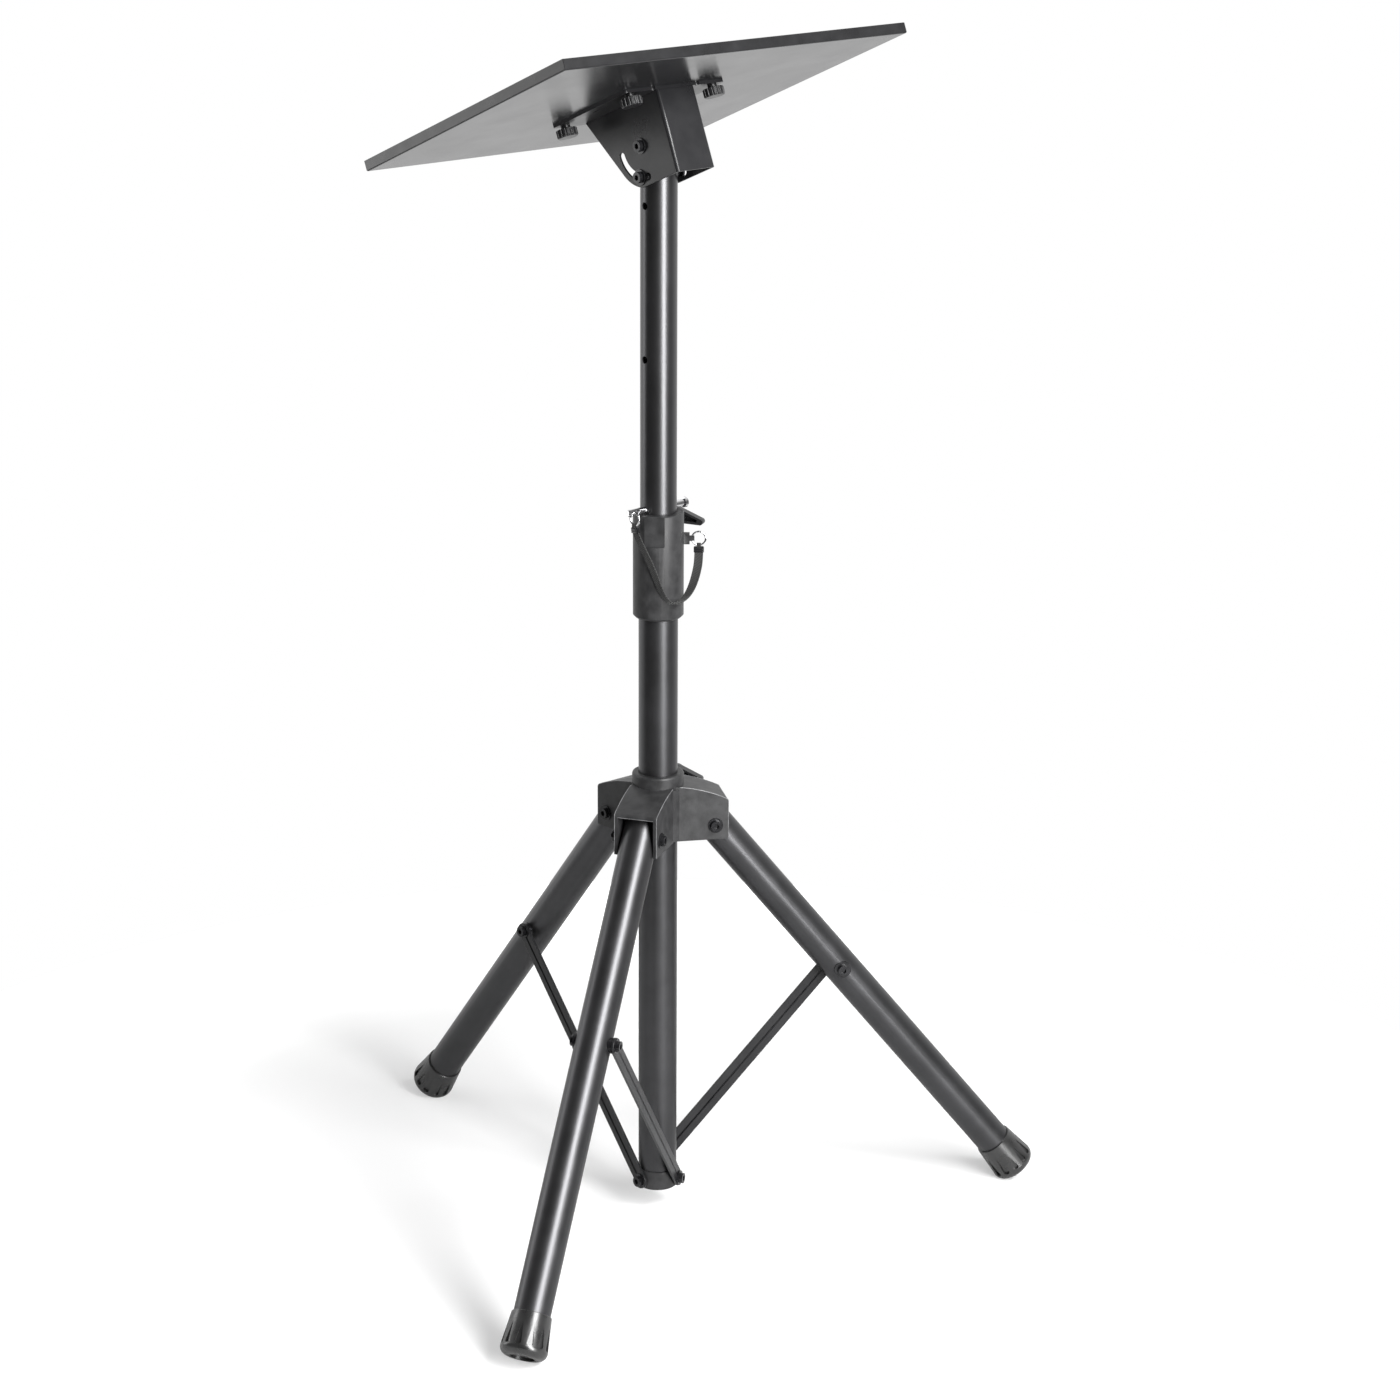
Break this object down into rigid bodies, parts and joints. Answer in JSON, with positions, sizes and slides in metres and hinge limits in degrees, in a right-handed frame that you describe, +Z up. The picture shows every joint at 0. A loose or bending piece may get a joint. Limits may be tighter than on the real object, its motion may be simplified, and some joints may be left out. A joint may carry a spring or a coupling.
{
  "type": "tripod stand with tilting tray",
  "caption": "Black folding tripod stand with a telescoping mast, a locking pin on a strap, and a flat tray on a tilting bracket.",
  "frame": {"origin": "point on the floor on the axis of the column, amid the feet", "axes": "+Z up the column, +X along the tray's tilt bolt, +Y to the back, with the raised front edge of the tray toward -Y"},
  "size_m": [0.6814, 0.5961, 1.1757],
  "materials": {
    "black_tube": "satin",
    "gloss_tube": "gloss",
    "black_plastic": "matte",
    "bright_metal": "polished",
    "webbing": "matte",
    "black_sheet": "satin",
    "tray_board": "satin",
    "knob_plastic": "satin",
    "rubber": "matte",
    "black_steel": "satin"
  },
  "bodies": {
    "column": {"lower_tube": "black_tube", "height_collar": "black_plastic", "base_cap": "black_plastic", "base_bolts": "black_steel", "strap_ring": "bright_metal", "pin_strap": "webbing"},
    "mast": {"upper_tube": "gloss_tube", "lock_pin": "bright_metal", "pin_ring": "bright_metal", "tilt_bolts": "black_steel"},
    "head": {"tilt_bracket": "black_sheet", "mount_plate": "black_sheet", "tray": "tray_board"},
    "collar_knob": {"collar_knob": "knob_plastic"},
    "hub": {"leg_hub": "black_plastic", "hub_bolts": "black_steel"},
    "hub_knob": {"hub_knob": "knob_plastic"},
    "leg_a": {"leg_tube_a": "black_tube", "foot_a": "rubber", "leg_bolt_a": "black_steel"},
    "brace_a": {"brace_a": "black_sheet", "brace_nut_a": "black_steel"},
    "leg_b": {"leg_tube_b": "black_tube", "foot_b": "rubber", "leg_bolt_b": "black_steel"},
    "brace_b": {"brace_b": "black_sheet", "brace_nut_b": "black_steel"},
    "leg_c": {"leg_tube_c": "black_tube", "foot_c": "rubber", "leg_bolt_c": "black_steel"},
    "brace_c": {"brace_c": "black_sheet", "brace_nut_c": "black_steel"},
    "thumb_screw_1": {"thumb_screw_1": "knob_plastic"},
    "thumb_screw_2": {"thumb_screw_2": "knob_plastic"},
    "thumb_screw_3": {"thumb_screw_3": "knob_plastic"},
    "thumb_screw_4": {"thumb_screw_4": "knob_plastic"}
  },
  "joints": [
    {"name": "hub_slide", "type": "slide", "parent": "column", "child": "hub", "axis": [0, 0, 1], "range_m": [0, 0.1094]},
    {"name": "leg_a_hinge", "type": "hinge", "parent": "hub", "child": "leg_a", "pos_m": [-0.0459, -0.0265, 0.40769], "axis": [0.5, -0.866, 0], "range_deg": [0, 39]},
    {"name": "brace_a_hinge", "type": "hinge", "parent": "column", "child": "brace_a", "pos_m": [0.011, -0.01905, 0.0316], "axis": [-0.5, 0.866, 0], "range_deg": [0, 29.8]},
    {"name": "leg_b_hinge", "type": "hinge", "parent": "hub", "child": "leg_b", "pos_m": [0.0459, -0.0265, 0.40769], "axis": [0.5, 0.866, 0], "range_deg": [0, 39]},
    {"name": "brace_b_hinge", "type": "hinge", "parent": "column", "child": "brace_b", "pos_m": [0.011, 0.01905, 0.0316], "axis": [-0.5, -0.866, 0], "range_deg": [0, 29.8]},
    {"name": "leg_c_hinge", "type": "hinge", "parent": "hub", "child": "leg_c", "pos_m": [0, 0.053, 0.40769], "axis": [-1, 0, 0], "range_deg": [0, 39]},
    {"name": "brace_c_hinge", "type": "hinge", "parent": "column", "child": "brace_c", "pos_m": [-0.022, 0, 0.0316], "axis": [1, 0, 0], "range_deg": [0, 29.8]},
    {"name": "mast_slide", "type": "slide", "parent": "column", "child": "mast", "axis": [0, 0, 1], "range_m": [0, 0.1]},
    {"name": "head_tilt", "type": "hinge", "parent": "mast", "child": "head", "pos_m": [0, 0, 1.07], "axis": [-1, 0, 0], "range_deg": [-23, 63]},
    {"name": "collar_knob_turn", "type": "hinge", "parent": "column", "child": "collar_knob", "pos_m": [0.0433, 0.025, 0.704], "axis": [0.866, 0.5, 0], "continuous": true},
    {"name": "hub_knob_turn", "type": "hinge", "parent": "hub", "child": "hub_knob", "pos_m": [0.0433, 0.025, 0.44219], "axis": [0.866, 0.5, 0], "continuous": true},
    {"name": "thumb_screw_1_turn", "type": "hinge", "parent": "head", "child": "thumb_screw_1", "pos_m": [-0.05, -0.01861, 1.11701], "axis": [0, 0.3907, 0.9205], "continuous": true},
    {"name": "thumb_screw_2_turn", "type": "hinge", "parent": "head", "child": "thumb_screw_2", "pos_m": [0.05, -0.01861, 1.11701], "axis": [0, 0.3907, 0.9205], "continuous": true},
    {"name": "thumb_screw_3_turn", "type": "hinge", "parent": "head", "child": "thumb_screw_3", "pos_m": [-0.05, 0.07344, 1.07794], "axis": [0, 0.3907, 0.9205], "continuous": true},
    {"name": "thumb_screw_4_turn", "type": "hinge", "parent": "head", "child": "thumb_screw_4", "pos_m": [0.05, 0.07344, 1.07794], "axis": [0, 0.3907, 0.9205], "continuous": true}
  ],
  "couplings": [
    {"joint": "leg_a_hinge", "follows": "hub_slide", "rad_per_m": 6.2219},
    {"joint": "brace_a_hinge", "follows": "hub_slide", "rad_per_m": 4.7543},
    {"joint": "leg_b_hinge", "follows": "hub_slide", "rad_per_m": 6.2219},
    {"joint": "brace_b_hinge", "follows": "hub_slide", "rad_per_m": 4.7543},
    {"joint": "leg_c_hinge", "follows": "hub_slide", "rad_per_m": 6.2219},
    {"joint": "brace_c_hinge", "follows": "hub_slide", "rad_per_m": 4.7543}
  ]
}
